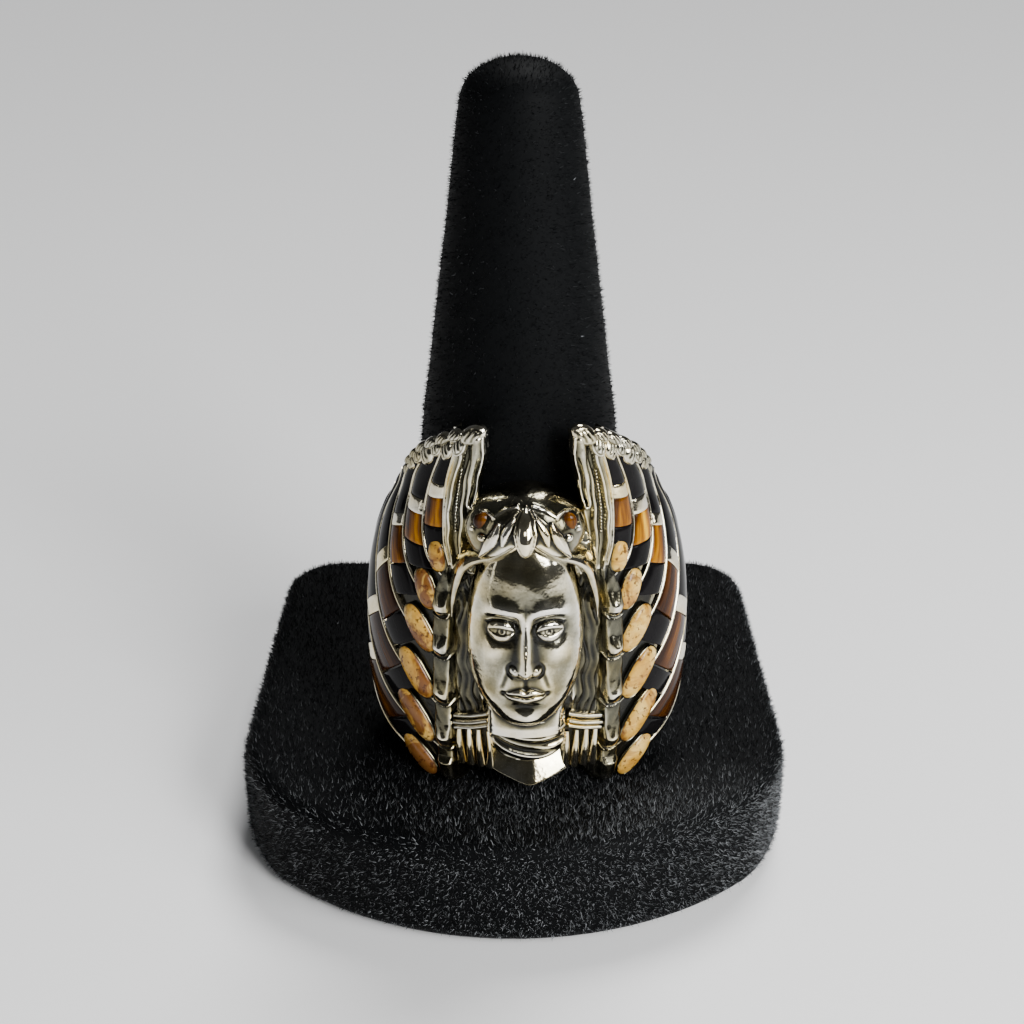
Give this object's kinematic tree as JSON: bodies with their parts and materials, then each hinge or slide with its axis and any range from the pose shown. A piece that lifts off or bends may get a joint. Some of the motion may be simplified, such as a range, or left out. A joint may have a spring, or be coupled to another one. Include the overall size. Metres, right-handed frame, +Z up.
{
  "type": "inlay ring on ring stand",
  "caption": "Wide cast silver ring with a hooded head between wings inlaid with polished stone, held up on a velvet-covered finger stand.",
  "frame": {"origin": "middle of the stand's footprint, on the surface that it stands on", "axes": "+Z up along the stand's finger, -Y the way that the head on the ring faces, +X to the right as the ring is looked at"},
  "size_m": [0.053, 0.0542, 0.075],
  "materials": {
    "silver": "polished cast silver, dark oxide in the recesses",
    "onyx": "polished black onyx",
    "tiger_eye": "polished tiger's eye",
    "jasper": "polished picture jasper",
    "velvet": "short black velvet pile"
  },
  "bodies": {
    "root": {"ring": "silver", "stand_base": "velvet", "stand_finger": "velvet", "onyx_lower_left": "onyx", "onyx_lower_right": "onyx", "bird_eye_left": "tiger_eye", "bird_eye_right": "tiger_eye", "onyx_upper_left_1": "onyx", "onyx_upper_left_2": "onyx", "onyx_upper_left_3": "onyx", "onyx_upper_left_4": "onyx", "onyx_upper_left_5": "onyx", "onyx_upper_left_6": "onyx", "onyx_upper_right_1": "onyx", "onyx_upper_right_2": "onyx", "onyx_upper_right_3": "onyx", "onyx_upper_right_4": "onyx", "onyx_upper_right_5": "onyx", "onyx_upper_right_6": "onyx", "tiger_eye_left_1": "tiger_eye", "tiger_eye_left_2": "tiger_eye", "tiger_eye_left_3": "tiger_eye", "tiger_eye_left_4": "tiger_eye", "tiger_eye_left_5": "tiger_eye", "tiger_eye_left_6": "tiger_eye", "tiger_eye_right_1": "tiger_eye", "tiger_eye_right_2": "tiger_eye", "tiger_eye_right_3": "tiger_eye", "tiger_eye_right_4": "tiger_eye", "tiger_eye_right_5": "tiger_eye", "tiger_eye_right_6": "tiger_eye", "jasper_tip_left_1": "jasper", "jasper_tip_left_2": "jasper", "jasper_tip_left_3": "jasper", "jasper_tip_left_4": "jasper", "jasper_tip_left_5": "jasper", "jasper_tip_left_6": "jasper", "jasper_tip_right_1": "jasper", "jasper_tip_right_2": "jasper", "jasper_tip_right_3": "jasper", "jasper_tip_right_4": "jasper", "jasper_tip_right_5": "jasper", "jasper_tip_right_6": "jasper"}
  },
  "joints": []
}
